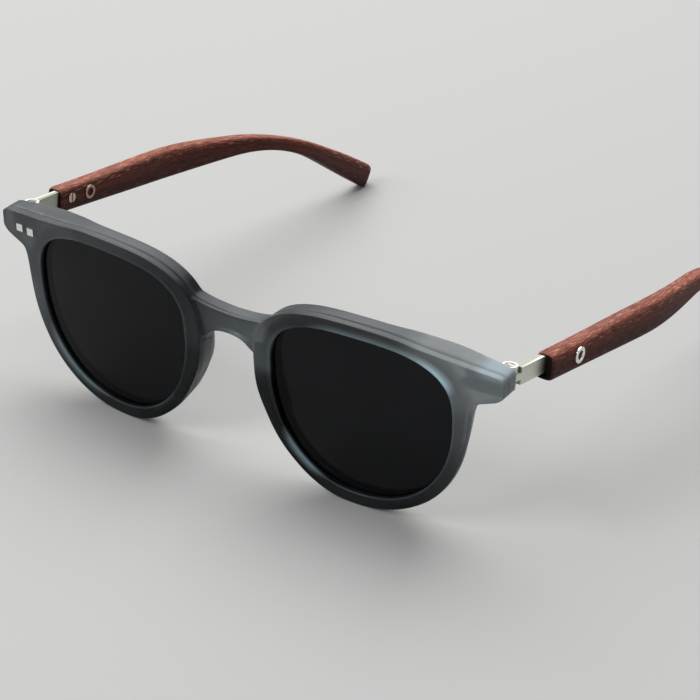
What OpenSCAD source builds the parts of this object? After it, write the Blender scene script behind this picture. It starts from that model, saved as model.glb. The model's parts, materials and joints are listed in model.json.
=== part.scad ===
// Sunglasses: a moulded front with two tinted lenses, and two wooden temples on barrel hinges.
// Millimetres. Left and right are the wearer's: the front faces -Y, the left side is +X.
// The pieces are laid out in the temples' own frame, where the hinge pins stand along Z and the
// zero point is the middle of the front face at the height where the lenses are widest.
// The whole is then turned to stand on the two rims and the two temple tips.

/* [Lenses] */
// Reach of a lens from its widest line towards the nose
lens_nasal = 22; // [19:0.5:25]
// Reach of a lens from its widest line towards the temple
lens_temporal = 24; // [21:0.5:27]
// Height of a lens above its widest line
lens_rise = 14.9; // [12:0.1:18]
// Depth of a lens below its widest line
lens_drop = 25.8; // [20:0.1:30]
// Distance between the two lenses
bridge_gap = 22.4; // [18:0.2:26]
// Thickness of a lens
lens_t = 2; // [1.6:0.1:2.4]
// Distance from the front face of a rim to the front face of its lens
lens_setback = 1.2; // [0.9:0.1:2.1]
// Depth of the lens groove in the rim
groove_depth = 0.7; // [0.5:0.05:1]
// Squareness of the upper corners (2 is an ellipse)
corner_upper = 2.9; // [2.2:0.1:3.6]
// Squareness of the lower corner towards the nose
corner_nasal = 2.13; // [2:0.01:2.6]
// Squareness of the lower corner towards the temple
corner_temporal = 2.2; // [2:0.01:2.6]

/* [Front] */
// Width of the rim at the nose
rim_nasal = 4.4; // [3.4:0.1:5.4]
// Width of the rim towards the temple
rim_temporal = 3.6; // [2.6:0.1:4.6]
// Width of the rim at the top
rim_top = 3.1; // [2.4:0.1:4]
// Width of the rim at the bottom
rim_bottom = 3; // [2.4:0.1:4]
// Depth of the rims from front to back
rim_depth = 5; // [4.6:0.1:6]
// Radius of the front's curve from side to side
front_radius = 480; // [300:10:800]
// Lean of the front from square to the temples
front_tilt = 10; // [4:0.5:14]
// Height of the bridge's upper edge above the lenses' widest line
bridge_top = 10; // [8:0.1:12]
// Height of the bridge's lower edge above the lenses' widest line
bridge_bottom = 4.7; // [3:0.1:6]
// Radius of the arch under the bridge
arch_radius = 9.4; // [8.4:0.1:11]
// How far the bridge lies behind the front faces of the rims
bridge_setback = 0.8; // [0.4:0.1:1.2]
// Reach of an end piece past its rim
end_reach = 8.1; // [7.4:0.1:9.9]
// Height of an end piece at its tip
end_height = 6.4; // [6:0.1:8]
// Depth of the middle of an end piece below the top of its rim
end_level = 6.3; // [5.3:0.1:7.3]
// Rise of the top edge from the tip of an end piece to the rim
end_slope = 2.3; // [1.5:0.1:3]
// Depth of an end piece from front to back
end_depth = 5.6; // [5:0.1:7]
// Corner radius of an end piece
end_corner = 1.3; // [0.8:0.1:2]
// Length over which the rim's back runs out to the deeper end piece
end_ramp = 10.5; // [6:0.5:12]

/* [Nose pads] */
// Thickness of a pad behind the rim
pad_depth = 2.2; // [1.4:0.1:3]
// Width of a pad
pad_width = 2.7; // [2:0.1:3.4]
// Radius of the round that cuts the two ends of a pad
pad_round = 10.5; // [8:0.5:12]
// Depth of the middle of a pad below the lenses' widest line
pad_level = 6; // [4:0.5:8]

/* [Hinges] */
// Reach of a hinge pin past its rim
hinge_reach = 5.2; // [4.4:0.1:5.8]
// Radius of the barrel
barrel_radius = 1.7; // [1.5:0.05:2]
// Height of the barrel
barrel_height = 5.4; // [4.8:0.1:6]
// Height of the middle knuckle
knuckle_height = 1.6; // [1.2:0.1:2]
// Thickness of each washer between the knuckles
washer_t = 0.2; // [0.15:0.05:0.3]
// Margin of the barrel round a washer
washer_margin = 0.15; // [0.05:0.05:0.4]
// Thickness of the plate behind the end piece
plate_t = 1; // [0.8:0.1:1.2]
// Length of that plate from the pin towards the nose
plate_len = 7.8; // [7.4:0.1:8.4]
// Margin of the end piece beside the plate
plate_margin = 0.8; // [0.4:0.1:1.4]
// Radius of the pin screw's shank
pin_radius = 0.7; // [0.5:0.05:0.8]
// Radius of the pin screw's head
pin_head_radius = 1.15; // [1:0.05:1.25]
// Height of the pin screw's head
pin_head_height = 0.6; // [0.4:0.05:0.8]
// Thickness of the neck and tang
neck_t = 1.4; // [1.1:0.1:1.6]
// Height of the neck and tang
neck_height = 4; // [3.2:0.1:4.6]
// Length of the tang inside the wood
tang_len = 17.5; // [16.5:0.5:22]
// Offset of the tang from the middle of the wood towards the head
tang_inset = 0.7; // [0:0.05:0.8]

/* [Temples] */
// Distance from the hinge pin to the front end of the wood
wood_start = 10.5; // [8.5:0.1:12]
// Reach of the middle of the wood past the hinge pin, at its front end
wood_reach = 2.35; // [2.2:0.05:3.2]
// Thickness of the wood at its front end
wood_t = 4.3; // [3.9:0.1:5]
// Thickness of the wood at its tip
tip_t = 3.7; // [3:0.1:4.3]
// Height of the wood at its front end
front_height = 6.4; // [6:0.1:7.4]
// Greatest height of the wood, half way to the ear
middle_height = 7.6; // [6.6:0.1:8.6]
// Place of the greatest height along the wood
middle_place = 43; // [36:1:52]
// Least height of the wood, at the ear bend
bend_height = 3.7; // [3:0.1:5]
// Place of the least height along the wood
bend_place = 87; // [80:1:96]
// Height of the wood at its tip
tip_height = 5.6; // [5:0.1:7]
// Length of the straight part in front of the ear bend
straight_len = 68.5; // [60:0.5:82]
// Fall of the straight part
straight_fall = 2; // [0.5:0.25:3]
// Radius of the ear bend
bend_radius = 80; // [60:1:110]
// Turn of the ear bend
bend_turn = 25; // [18:0.5:32]
// Length of the straight part behind the ear bend
tip_len = 33; // [26:1:42]
// Outward lean of the temple
splay = 1.7; // [0:0.1:2.5]
// Inward set of the tip
tuck = 7.6; // [3:0.1:10]
// Place along the wood where the inward set starts
tuck_start = 40; // [34:1:56]
// Length over which the wood is set inward
tuck_len = 66; // [56:1:80]
// Rounding of the long edges
edge_round = 1.1; // [0.6:0.1:1.4]
// Rounding of the tip
tip_round = 2.6; // [1.5:0.1:3.2]

/* [Fasteners] */
// Distance between the two rivets of an end piece
rivet_gap = 3.6; // [3:0.1:3.8]
// Distance of the outer rivet from the hinge pin
rivet_inset = 3.1; // [2.4:0.1:3.3]
// Radius of a rivet's shank
rivet_radius = 0.7; // [0.5:0.05:0.8]
// Width of a rivet's square head
rivet_head = 1.8; // [1.6:0.1:2.2]
// Thickness of a rivet's head
rivet_head_t = 0.7; // [0.5:0.05:0.9]
// Height that a rivet's head stands out of the front
rivet_proud = 0.3; // [0.2:0.05:0.4]
// Thickness of the front over the left side's blind rivets, which have no heads
rivet_cover = 1.5; // [1:0.1:2.5]
// Distance of the temple screw from the front end of the wood
screw_place = 4; // [3.5:0.5:6]
// Radius of the temple screw's shank
screw_radius = 0.6; // [0.4:0.05:0.7]
// Radius of the temple screw's head
screw_head = 1.2; // [1:0.05:1.4]
// Distance of the tube rivet from the front end of the wood
tube_place = 11; // [9.5:0.5:12.5]
// Outer radius of the tube rivet
tube_radius = 1.3; // [1.15:0.05:1.5]
// Bore radius of the tube rivet
tube_bore = 1; // [0.6:0.05:1.05]
// Radius of the tube rivet's outer flange
tube_flange = 1.9; // [1.6:0.05:2.1]
// Radius of the tube rivet's inner flange
tube_back = 1.75; // [1.6:0.05:1.9]
// Height that the heads stand out of the wood
head_proud = 0.3; // [0.2:0.05:0.5]
// Depth of the heads' seats in the wood
head_seat = 0.4; // [0.3:0.05:0.6]
// Width of the screws' slots
slot_width = 0.35; // [0.2:0.05:0.5]
// Depth of the screws' slots
slot_depth = 0.25; // [0.15:0.05:0.35]

/* [Fits] */
// Clearance of glued, pressed and screwed pieces in their seats
seat_gap = 0.03; // [0.02:0.01:0.05]
// Radial clearance of the pin screw in the middle knuckle
pin_gap = 0.05; // [0.02:0.01:0.1]
// Clearance of the moving knuckle and neck
swing_gap = 0.3; // [0.2:0.05:0.5]

/* [Hidden] */
$fn = 64;
// Sides of the large rounds that the front's curve is cut from
curve_sides = 360;
left = 1;
right = -1;
// Cutting shapes reach this far past what they cut
past = 1;

front_color = "#737a7c";
lens_color = "#1b1d20";
pad_color = "#98a2a6";
metal_color = "#c9c9c5";
wood_color = "#5a2a20";

// Lens and rim outlines
lens_middle = bridge_gap / 2 + lens_nasal;
arc_points = 12;
function quarter(a, b, e, u_sign, v_sign) = [
    for (i = [0 : arc_points - 1])
        let (t = 90 * (u_sign * v_sign > 0 ? i : arc_points - i) / arc_points)
        [u_sign * a * pow(cos(t), 2 / e), v_sign * b * pow(sin(t), 2 / e)]
];
function rounded_loop(nasal, temporal, rise, drop) = concat(
    quarter(temporal, rise, corner_upper, 1, 1),
    quarter(nasal, rise, corner_upper, -1, 1),
    quarter(nasal, drop, corner_nasal, -1, -1),
    quarter(temporal, drop, corner_temporal, 1, -1)
);
function lens_loop(grow) = rounded_loop(
    lens_nasal + grow, lens_temporal + grow, lens_rise + grow, lens_drop + grow
);
rim_nasal_reach = lens_nasal - groove_depth + rim_nasal;
rim_temporal_reach = lens_temporal - groove_depth + rim_temporal;
rim_rise = lens_rise - groove_depth + rim_top;
rim_drop = lens_drop - groove_depth + rim_bottom;
rim_edge = lens_middle + rim_temporal_reach;
rim_loop = rounded_loop(rim_nasal_reach, rim_temporal_reach, rim_rise, rim_drop);

// Places along the front, from its middle outwards, and the level of the end pieces
end_x = rim_edge + end_reach;
pin_x = rim_edge + hinge_reach;
wood_x = pin_x + wood_reach;
tang_x = wood_x - tang_inset - neck_t / 2;
end_v = rim_rise - end_level;

// The front's curve, and the seat that the hinge plate lies on
function sag(u) = front_radius - sqrt(front_radius * front_radius - u * u);
function along_temple(v, w) = w * cos(front_tilt) - v * sin(front_tilt);
function above_front(v, w) = v * cos(front_tilt) + w * sin(front_tilt);
plate_middle = pin_x - plate_len / 2;
seat_w = sag(plate_middle) + end_depth;
seat_y = along_temple(end_v, seat_w);
hinge_z = above_front(end_v, seat_w);
hinge_y = seat_y + barrel_radius + swing_gap;
shell_depth = sag(end_x) + rim_depth + end_depth + pad_depth;
front_block = 4 * end_x;
end_top = end_v + end_height / 2;
end_bottom = end_v - end_height / 2;
// The end piece is deepest behind its plate
end_block_start = pin_x - plate_len - plate_margin;
ramp_start = end_block_start - end_ramp;
ramp_y = along_temple(rim_rise, sag(ramp_start) + rim_depth);

// The hinge
washer_level = knuckle_height / 2 + seat_gap;
outer_level = washer_level + washer_t + seat_gap;
barrel_top = barrel_height / 2;
wood_y = hinge_y + wood_start;
plate_back = seat_y + seat_gap + plate_t;

// The wood's own path: distance s runs along it from its front end
bend_len = bend_radius * bend_turn * PI / 180;
wood_len = straight_len + bend_len + tip_len;
bend_end = straight_len + bend_len;
function fall(s) = straight_fall + bend_turn * max(0, min(1, (s - straight_len) / bend_len));
function path_y(s) = wood_y + min(s, straight_len) * cos(straight_fall)
    + bend_radius * (sin(fall(s)) - sin(straight_fall))
    + max(0, s - bend_end) * cos(straight_fall + bend_turn);
function path_z(s) = hinge_z - min(s, straight_len) * sin(straight_fall)
    - bend_radius * (cos(straight_fall) - cos(fall(s)))
    - max(0, s - bend_end) * sin(straight_fall + bend_turn);
function ease(t) = let (c = max(0, min(1, t))) c * c * (3 - 2 * c);
function path_x(s) = wood_x + s * sin(splay) - tuck * ease((s - tuck_start) / tuck_len);
// The tang's inner face, which keeps its distance from the wood's inner face
function tang_at(y) = tang_x + (y - wood_y) * sin(splay);
function height_at(s) = s < middle_place
    ? front_height + (middle_height - front_height) * ease(s / middle_place)
    : s < bend_place
        ? middle_height
            + (bend_height - middle_height) * ease((s - middle_place) / (bend_place - middle_place))
        : bend_height + (tip_height - bend_height) * ease((s - bend_place) / (wood_len - bend_place));
function thickness_at(s) = wood_t + (tip_t - wood_t) * s / wood_len;

// The wood: rounded sections along its path, drawn in at both ends
ring_gap = 3.2;
end_ease = 0.6;
end_ring = 0.85;
tip_steps = [0, 0.4, 0.7, 0.9, 1];
corner_steps = 3;
// Share of a section that is left at the very tip, and that a rounding may take
tip_share = 0.3;
round_share = 0.9;
body_len = wood_len - tip_round;
rings = ceil((body_len - end_ease) / ring_gap);
stations = concat(
    [[0, end_ring]],
    [for (i = [0 : rings - 1]) [end_ease + i * (body_len - end_ease) / rings, 1]],
    [for (t = tip_steps) [body_len + t * tip_round, max(tip_share, sqrt(1 - t * t))]]
);
function section(s, shrink) =
    let (
        half_t = shrink * thickness_at(s) / 2,
        half_h = shrink * height_at(s) / 2,
        r = min(edge_round, round_share * half_t, round_share * half_h),
        turns = [[1, 1], [-1, 1], [-1, -1], [1, -1]]
    )
    [
        for (q = [0 : 3])
            for (i = [0 : corner_steps])
                let (a = 90 * (q + i / corner_steps))
                [turns[q][0] * (half_t - r) + r * cos(a), turns[q][1] * (half_h - r) + r * sin(a)]
    ];
function ring_at(s, shrink) = [
    for (p = section(s, shrink))
        [path_x(s) + p[0], path_y(s) + p[1] * sin(fall(s)), path_z(s) + p[1] * cos(fall(s))]
];

// How the glasses stand: on the front lower edges of the rims and under the tips
rim_low_y = along_temple(-rim_drop, sag(lens_middle));
rim_low_z = above_front(-rim_drop, sag(lens_middle));
wood_points = [for (r = stations) each ring_at(r[0], r[1])];
stand_tilt = min([for (p = wood_points) atan2(p[2] - rim_low_z, p[1] - rim_low_y)]);
function stand_y(y, z) = y * cos(stand_tilt) + z * sin(stand_tilt);
function stand_z(y, z) = z * cos(stand_tilt) - y * sin(stand_tilt);
stand_front = min([
    for (p = rim_loop)
        let (w = sag(lens_middle + p[0]))
        stand_y(along_temple(p[1], w), above_front(p[1], w))
]);
stand_back = max([for (p = wood_points) stand_y(p[1], p[2])]);
module standing(side) {
    translate([0, -(stand_front + stand_back) / 2, -stand_z(rim_low_y, rim_low_z)])
        rotate([-stand_tilt, 0, 0])
            mirror([side == right ? 1 : 0, 0, 0])
                children();
}

// Shared shapes
module leaned() {
    rotate([front_tilt, 0, 0]) children();
}
// An outline on the front's face, drawn through its whole depth
module through_front() {
    translate([0, shell_depth, 0])
        rotate([90, 0, 0])
            linear_extrude(height = shell_depth + past)
                children();
}
// The curved layer between two depths behind the front's face
module front_layer(from_w, to_w) {
    translate([0, front_radius, -front_block / 2])
        difference() {
            cylinder(r = front_radius - from_w, h = front_block, $fn = curve_sides);
            translate([0, 0, -past])
                cylinder(r = front_radius - to_w, h = front_block + 2 * past, $fn = curve_sides);
        }
}
module front_slice(from_w, to_w) {
    intersection() {
        through_front() children();
        front_layer(from_w, to_w);
    }
}
module lens_outline(grow) {
    translate([lens_middle, 0])
        polygon(lens_loop(grow));
}
module rim_outline() {
    translate([lens_middle, 0])
        polygon(rim_loop);
}
module corner_disc(u, v) {
    translate([u, v]) circle(r = end_corner);
}
// The end piece runs out from the rim's upper corner, with two round corners at its tip
module end_outline() {
    inner_u = lens_middle + lens_temporal / 2;
    square_u = end_x - end_corner;
    polygon([
        [inner_u, end_bottom],
        [rim_edge - rim_temporal / 2, 0],
        [rim_edge + end_corner / 2, end_bottom - end_corner],
        [rim_edge + rim_temporal / 2, end_bottom],
        [square_u, end_bottom],
        [square_u, end_top],
        [inner_u, end_top + end_slope]
    ]);
    translate([square_u - past, end_bottom + end_corner])
        square([end_corner + past, end_height - 2 * end_corner]);
    corner_disc(square_u, end_bottom + end_corner);
    corner_disc(square_u, end_top - end_corner);
}
module bridge_outline() {
    reach = lens_middle - lens_nasal - groove_depth;
    difference() {
        translate([-reach, -past])
            square([2 * reach, bridge_top + past]);
        translate([0, bridge_bottom - arch_radius])
            circle(r = arch_radius);
        translate([-arch_radius, -front_block])
            square([2 * arch_radius, front_block + bridge_bottom - arch_radius]);
    }
}
module upright(r, from_z, to_z) {
    translate([pin_x, hinge_y, hinge_z + from_z])
        cylinder(r = r, h = to_z - from_z);
}
module crosswise(s, r, from_x, to_x) {
    translate([from_x, path_y(s), path_z(s)])
        rotate([0, 90, 0])
            cylinder(r = r, h = to_x - from_x);
}
// A rivet runs square to the front, to the back of the hinge plate. On the right it starts at a
// square head in the front's face, and on the left it is blind and starts inside the end piece.
module rivet_places() {
    leaned()
        for (i = [0 : 1])
            let (u = pin_x - rivet_inset - i * rivet_gap)
            translate([u, sag(u), end_v])
                children();
}
module rivet_body(side, grow) {
    start = side == left ? rivet_cover - grow : 0;
    if (side == right)
        translate([-rivet_head / 2 - grow, -rivet_proud, -rivet_head / 2 - grow])
            cube([rivet_head + 2 * grow, rivet_head_t, rivet_head + 2 * grow]);
    translate([0, start, 0])
        rotate([-90, 0, 0])
            cylinder(r = rivet_radius + grow, h = shell_depth);
}

// The flat seat that the hinge plate lies on
module plate_seat() {
    translate([end_block_start, seat_y, hinge_z - barrel_top - plate_margin])
        cube([front_block, front_block, barrel_height + 2 * plate_margin]);
}
module rim_half() {
    leaned()
        front_slice(0, rim_depth) {
            rim_outline();
            end_outline();
        }
    intersection() {
        leaned()
            front_slice(0, shell_depth)
                end_outline();
        translate([0, 0, hinge_z - front_block / 2])
            linear_extrude(height = front_block)
                polygon([
                    [ramp_start, -front_block], [ramp_start, ramp_y],
                    [end_block_start, seat_y], [front_block, seat_y], [front_block, -front_block]
                ]);
    }
}
module front_frame() {
    color(front_color)
        standing(left)
            difference() {
                union() {
                    rim_half();
                    mirror([1, 0, 0]) rim_half();
                    leaned()
                        front_slice(bridge_setback, rim_depth)
                            bridge_outline();
                }
                for (side = [left, right])
                    mirror([side == right ? 1 : 0, 0, 0]) {
                        leaned() {
                            through_front() lens_outline(-groove_depth);
                            front_slice(lens_setback - seat_gap, lens_setback + lens_t + seat_gap)
                                lens_outline(0);
                        }
                        rivet_places() rivet_body(side, seat_gap);
                        plate_seat();
                    }
            }
}
module lens(side) {
    color(lens_color)
        standing(side)
            leaned()
                front_slice(lens_setback, lens_setback + lens_t)
                    lens_outline(-seat_gap);
}
// A crescent along the nose side of the rim, glued to its back
module nose_pad(side) {
    color(pad_color)
        standing(side)
            leaned()
                front_slice(rim_depth + seat_gap, rim_depth + seat_gap + pad_depth)
                    intersection() {
                        difference() {
                            rim_outline();
                            translate([lens_middle + pad_width, 0])
                                polygon(rim_loop);
                        }
                        translate([lens_middle - rim_nasal_reach, -pad_level])
                            circle(r = pad_round);
                    }
}
module hinge_plate(side) {
    color(metal_color)
        standing(side)
            difference() {
                union() {
                    translate([pin_x - plate_len, seat_y + seat_gap, hinge_z - barrel_top])
                        cube([plate_len, plate_t, barrel_height]);
                    upright(barrel_radius, -barrel_top, -outer_level);
                    upright(barrel_radius, outer_level, barrel_top);
                }
                upright(barrel_radius + swing_gap, -outer_level, outer_level);
                upright(pin_radius + seat_gap, -barrel_top - past, barrel_top + past);
                upright(pin_head_radius + seat_gap, barrel_top - pin_head_height, barrel_top + past);
                rivet_places()
                    rotate([-90, 0, 0])
                        cylinder(r = rivet_radius + seat_gap, h = shell_depth);
            }
}
module front_rivets(side) {
    color(metal_color)
        standing(side)
            intersection() {
                rivet_places() rivet_body(side, 0);
                translate([0, plate_back - front_block, hinge_z - front_block / 2])
                    cube(front_block);
            }
}
module hinge_screw(side) {
    color(metal_color)
        standing(side)
            difference() {
                union() {
                    upright(pin_radius, -barrel_top, barrel_top);
                    upright(pin_head_radius, barrel_top - pin_head_height + seat_gap, barrel_top);
                }
                translate([pin_x, hinge_y, hinge_z + barrel_top])
                    cube([2 * barrel_radius, slot_width, 2 * slot_depth], center = true);
            }
}
module hinge_washers(side) {
    color(metal_color)
        standing(side)
            for (level = [washer_level, -washer_level - washer_t])
                difference() {
                    upright(barrel_radius - washer_margin, level, level + washer_t);
                    upright(pin_radius + seat_gap, level - past, level + washer_t + past);
                }
}
module flat_bar(outline, height) {
    translate([0, 0, hinge_z - height / 2])
        linear_extrude(height = height)
            polygon(outline);
}
// The middle knuckle, a neck that leans out to the wood, and a tang inside the wood
module hinge_leaf(side) {
    root_x = pin_x + barrel_radius - neck_t;
    end_y = wood_y + tang_len;
    neck_y = hinge_y + barrel_radius + swing_gap;
    lean = (tang_x - root_x) / wood_start;
    neck_x = root_x + lean * (neck_y - hinge_y);
    color(metal_color)
        standing(side)
            difference() {
                union() {
                    upright(barrel_radius, -knuckle_height / 2, knuckle_height / 2);
                    flat_bar([
                        [root_x, hinge_y], [root_x + neck_t, hinge_y],
                        [tang_x + neck_t, wood_y], [tang_x, wood_y]
                    ], knuckle_height);
                    flat_bar([
                        [neck_x, neck_y], [neck_x + neck_t, neck_y],
                        [tang_x + neck_t, wood_y], [tang_at(end_y) + neck_t, end_y],
                        [tang_at(end_y), end_y], [tang_x, wood_y]
                    ], neck_height);
                }
                upright(pin_radius + pin_gap, -barrel_top, barrel_top);
                crosswise(screw_place, screw_radius + seat_gap, 0, wood_x + wood_t);
                crosswise(tube_place, tube_radius + seat_gap, 0, wood_x + wood_t);
            }
}

// A closed skin over rows of points, one row after the other
module swept(rows) {
    n = len(rows[0]);
    m = len(rows);
    polyhedron(
        points = [for (row = rows) for (p = row) p],
        faces = concat(
            [[for (i = [0 : n - 1]) i]],
            [
                for (j = [0 : m - 2])
                    for (i = [0 : n - 1])
                        let (k = (i + 1) % n)
                        each [
                            [j * n + i, (j + 1) * n + i, (j + 1) * n + k],
                            [j * n + i, (j + 1) * n + k, j * n + k]
                        ]
            ],
            [[for (i = [n - 1 : -1 : 0]) (m - 1) * n + i]]
        )
    );
}
function inner_face(s) = path_x(s) - thickness_at(s) / 2;
function outer_face(s) = path_x(s) + thickness_at(s) / 2;
screw_end = tang_at(path_y(screw_place)) + neck_t + head_proud;
module temple(side) {
    slot_start = wood_y - past;
    slot_end = wood_y + tang_len + seat_gap;
    slot_out = neck_t + seat_gap;
    color(wood_color)
        standing(side)
            difference() {
                swept([for (r = stations) ring_at(r[0], r[1])]);
                flat_bar([
                    [tang_at(slot_start) - seat_gap, slot_start],
                    [tang_at(slot_start) + slot_out, slot_start],
                    [tang_at(slot_end) + slot_out, slot_end],
                    [tang_at(slot_end) - seat_gap, slot_end]
                ], neck_height + 2 * seat_gap);
                screw_shape(seat_gap);
                tube_shape(seat_gap);
            }
}
module screw_shape(grow) {
    inner = inner_face(screw_place);
    crosswise(screw_place, screw_head + grow, inner - head_proud, inner + head_seat + grow);
    crosswise(screw_place, screw_radius + grow, inner, screw_end + grow);
}
module tube_shape(grow) {
    inner = inner_face(tube_place);
    outer = outer_face(tube_place);
    crosswise(tube_place, tube_flange + grow, outer - head_seat - grow, outer + head_proud);
    crosswise(tube_place, tube_radius + grow, inner, outer);
    crosswise(tube_place, tube_back + grow, inner - head_proud, inner + head_seat + grow);
}
module temple_screw(side) {
    inner = inner_face(screw_place) - head_proud;
    color(metal_color)
        standing(side)
            difference() {
                screw_shape(0);
                translate([inner, path_y(screw_place), path_z(screw_place)])
                    cube([2 * slot_depth, slot_width, 2 * screw_head], center = true);
            }
}
module temple_rivet(side) {
    color(metal_color)
        standing(side)
            difference() {
                tube_shape(0);
                crosswise(tube_place, tube_bore, 0, wood_x + wood_t + past);
            }
}

front_frame();
lens(left);  // left_lens
lens(right);  // right_lens
nose_pad(left);  // left_nose_pad
nose_pad(right);  // right_nose_pad
hinge_plate(left);  // left_hinge_plate
hinge_plate(right);  // right_hinge_plate
front_rivets(left);  // left_front_rivets
front_rivets(right);  // right_front_rivets
hinge_screw(left);  // left_hinge_screw
hinge_screw(right);  // right_hinge_screw
hinge_washers(left);  // left_hinge_washers
hinge_washers(right);  // right_hinge_washers
hinge_leaf(left);  // left_hinge_leaf
hinge_leaf(right);  // right_hinge_leaf
temple(left);  // left_temple
temple(right);  // right_temple
temple_screw(left);  // left_temple_screw
temple_screw(right);  // right_temple_screw
temple_rivet(left);  // left_temple_rivet
temple_rivet(right);  // right_temple_rivet
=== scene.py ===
import json
from math import atan2, copysign, cos, radians, sin, sqrt

import bmesh
import bpy
from mathutils import Matrix, Vector


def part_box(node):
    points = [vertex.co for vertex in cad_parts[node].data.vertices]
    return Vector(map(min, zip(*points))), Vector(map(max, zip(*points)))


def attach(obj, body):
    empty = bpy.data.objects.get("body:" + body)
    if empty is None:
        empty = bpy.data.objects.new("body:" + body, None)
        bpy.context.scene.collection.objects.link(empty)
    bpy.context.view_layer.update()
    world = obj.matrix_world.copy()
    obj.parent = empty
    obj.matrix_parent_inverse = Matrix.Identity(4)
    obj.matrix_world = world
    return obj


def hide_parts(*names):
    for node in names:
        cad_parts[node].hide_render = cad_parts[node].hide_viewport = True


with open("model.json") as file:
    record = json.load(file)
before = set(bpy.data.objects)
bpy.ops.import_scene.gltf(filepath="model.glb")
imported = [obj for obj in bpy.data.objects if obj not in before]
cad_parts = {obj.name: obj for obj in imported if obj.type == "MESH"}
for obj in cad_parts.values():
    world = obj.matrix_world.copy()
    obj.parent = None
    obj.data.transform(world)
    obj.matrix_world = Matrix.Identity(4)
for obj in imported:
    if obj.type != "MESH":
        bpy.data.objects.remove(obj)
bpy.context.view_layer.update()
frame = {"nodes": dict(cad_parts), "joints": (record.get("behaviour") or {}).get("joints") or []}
mm = 0.001
tiny = 1e-7
weldGap = 1e-6
sharpAngle = radians(50)
sides = {"left": 1, "right": -1}    # the wearer's left is +X
print("frame loaded:", len(frame["nodes"]), "nodes")

# The face that rims, lenses and pads lie on: x across, y back into the front, z up
face = {
    "radius": 480 * mm,             # curve from side to side
    "tilt": radians(10),            # lean against the temples
    "bridgeGap": 22.4 * mm,
    "nasal": 22 * mm,
    "temporal": 24 * mm,
    "rise": 14.9 * mm,
    "drop": 25.8 * mm,
    "upperCorner": 2.9,             # 2 is an ellipse, more is squarer
    "nasalCorner": 2.13,
    "temporalCorner": 2.2,
    "groove": 0.7 * mm,
    "rimNasal": 4.4 * mm,
    "rimTemporal": 3.6 * mm,
    "rimTop": 3.1 * mm,
    "rimBottom": 3 * mm,
    "segments": 72,
}
lensMiddle = face["bridgeGap"] / 2 + face["nasal"]


def lensReach(grow):
    return [face[k] + grow for k in ("nasal", "temporal", "rise", "drop")]


rimWidths = {"nasal": "rimNasal", "temporal": "rimTemporal", "rise": "rimTop", "drop": "rimBottom"}
rimReach = [face[k] - face["groove"] + face[w] for k, w in rimWidths.items()]


def loopPoint(turn, reach):
    # a point on the four-cornered loop round the middle of a lens
    nasal, temporal, rise, drop = reach
    c, s = cos(turn), sin(turn)
    corner = face["upperCorner"]
    if s < 0:
        corner = face["nasalCorner"] if c < 0 else face["temporalCorner"]
    x = copysign(abs(c) ** (2 / corner), c) * (nasal if c < 0 else temporal)
    z = copysign(abs(s) ** (2 / corner), s) * (drop if s < 0 else rise)
    return Vector((lensMiddle + x, 0, z))


def ease(t):
    t = min(1, max(0, t))
    return t * t * (3 - 2 * t)


def sag(x):
    return face["radius"] - sqrt(face["radius"] ** 2 - x * x)


# How the glasses stand: the pins' lean and the rims' lowest points give it
pins = {j["name"].split("_")[0]: j for j in frame["joints"]}
pinAxis = pins["left"]["axis"]
pinX = pins["left"]["pos_m"][0]
standTilt = atan2(pinAxis[1], pinAxis[2])
lean = face["tilt"] - standTilt
rimStep = 360 // face["segments"]
rimPoints = [loopPoint(radians(turn), rimReach) for turn in range(0, 360, rimStep)]
forward = min(sag(p.x) * cos(lean) - p.z * sin(lean) for p in rimPoints)
lowest = min(p.z * cos(lean) + sag(p.x) * sin(lean) for p in rimPoints)
standPlace = Matrix.Translation((0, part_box("front_frame")[0].y - forward, -lowest))
templeFrame = standPlace @ Matrix.Rotation(-standTilt, 4, "X")
frontFrame = standPlace @ Matrix.Rotation(lean, 4, "X")
mirrorX = Matrix.Scale(-1, 4, (1, 0, 0))
pinPlace = templeFrame.inverted() @ Vector(pins["left"]["pos_m"])


# Small helpers for modelling
def loopEdges(verts):
    ring = set(verts)
    return list({e for v in verts for e in v.link_edges if e.other_vert(v) in ring})


def lensRing(bm, reach):
    ring = bmesh.ops.create_circle(bm, segments=face["segments"], radius=1)["verts"]
    for v in ring:
        v.co = loopPoint(atan2(v.co.y, v.co.x), reach)
    return ring


def pullEdges(bm, edges):
    made = bmesh.ops.extrude_edge_only(bm, edges=edges)["geom"]
    verts = [g for g in made if isinstance(g, bmesh.types.BMVert)]
    return verts, loopEdges(verts)


def pushFaces(bm, faces):
    made = bmesh.ops.extrude_face_region(bm, geom=faces)["geom"]
    return [g for g in made if isinstance(g, bmesh.types.BMVert)]


def roundEdges(bm, edges, width, steps):
    bmesh.ops.bevel(
        bm, geom=edges, offset=width, offset_type="OFFSET", affect="EDGES",
        segments=steps, profile=0.5, material=-1, clamp_overlap=True,
    )


def layOnFront(bm, side=1):
    for v in bm.verts:
        v.co.y += sag(v.co.x)
    bmesh.ops.transform(bm, matrix=frontFrame, verts=bm.verts)
    if side < 0:
        bmesh.ops.transform(bm, matrix=mirrorX, verts=bm.verts)


def addPiece(bm, name, body, node, material, levels):
    bmesh.ops.recalc_face_normals(bm, faces=bm.faces)
    for f in bm.faces:
        f.smooth = True
    mesh = bpy.data.meshes.new(name)
    bm.to_mesh(mesh)
    bm.free()
    mesh.materials.append(material)
    piece = bpy.data.objects.new(name, mesh)
    bpy.context.scene.collection.objects.link(piece)
    smooth = piece.modifiers.new("smooth", "SUBSURF")
    smooth.levels = smooth.render_levels = levels
    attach(piece, body)
    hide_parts(node)


# Small helpers for materials
noiseRange = (0.3, 0.7)             # where most of a noise's values lie
mixSockets = {"first": 6, "second": 7, "result": 2}     # the colour sockets of a Mix node


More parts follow.
